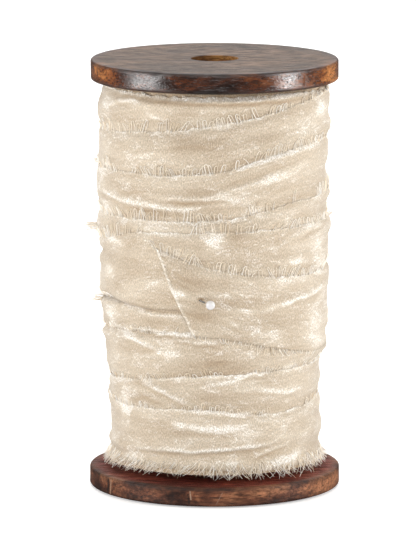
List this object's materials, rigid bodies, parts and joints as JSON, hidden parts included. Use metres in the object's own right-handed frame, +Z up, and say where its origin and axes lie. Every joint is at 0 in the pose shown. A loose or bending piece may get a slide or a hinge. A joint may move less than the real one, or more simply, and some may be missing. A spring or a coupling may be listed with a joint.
{
  "type": "velvet ribbon wound on a wooden spool",
  "caption": "Frayed crushed velvet ribbon wound on a bored wooden spool between round end discs, its loose end laid slanting and pinned with a ball-headed pin.",
  "frame": {"origin": "centre of the bottom disc's underside", "axes": "+Z up along the spool's axis, -Y towards the front, where the loose end is pinned, +X to the right"},
  "size_m": [0.0894, 0.0894, 0.153],
  "materials": {
    "stained_wood": "dark walnut stain, worn satin varnish",
    "bare_wood": "rough drilled wood",
    "velvet": "crushed velvet pile",
    "frayed_thread": "loose silky threads",
    "pearl": "pearl gloss",
    "pin_steel": "drawn steel wire"
  },
  "bodies": {
    "root": {"disc_bottom": "stained_wood", "disc_top": "stained_wood", "barrel": "bare_wood", "ribbon_roll": "velvet", "ribbon_end": "velvet", "fray_turn_1": "frayed_thread", "fray_turn_2": "frayed_thread", "fray_turn_3": "frayed_thread", "fray_end": "frayed_thread", "fray_hem": "frayed_thread", "pin_head": "pearl", "pin_shank": "pin_steel"}
  },
  "joints": []
}
